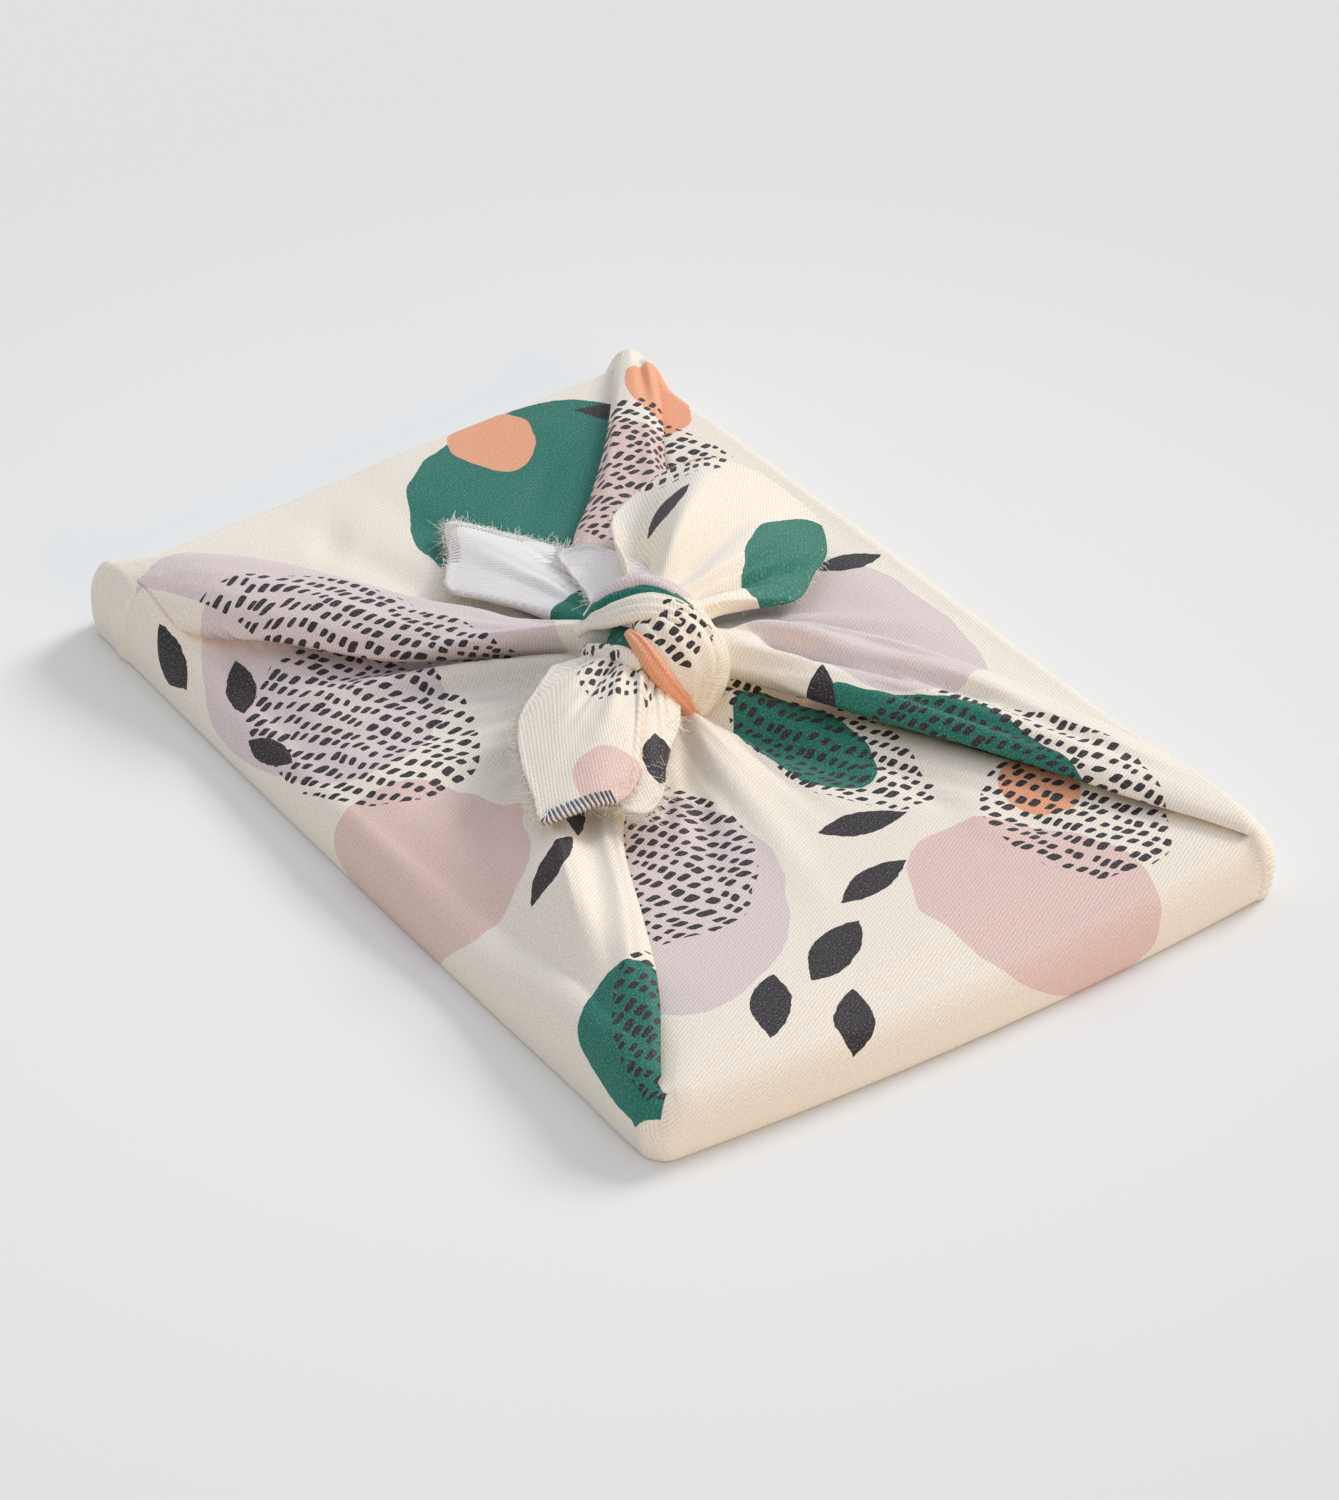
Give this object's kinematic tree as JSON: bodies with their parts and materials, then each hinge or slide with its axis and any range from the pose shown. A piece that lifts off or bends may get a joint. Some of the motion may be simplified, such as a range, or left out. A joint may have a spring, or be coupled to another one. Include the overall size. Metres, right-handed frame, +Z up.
{
  "type": "furoshiki wrap",
  "caption": "Flat parcel wrapped in one square of printed cloth, its four corners drawn over the top as gathered arms and knotted in the middle, with free ends.",
  "frame": {"origin": "middle of the parcel's footprint, on the surface it rests on", "axes": "+X along the parcel's long side, +Y along its short side, +Z up through the knot"},
  "size_m": [0.2861, 0.1933, 0.0494],
  "materials": {
    "printed_cloth": "soft satin"
  },
  "bodies": {
    "root": {"furoshiki_cloth": "printed_cloth"}
  },
  "joints": []
}
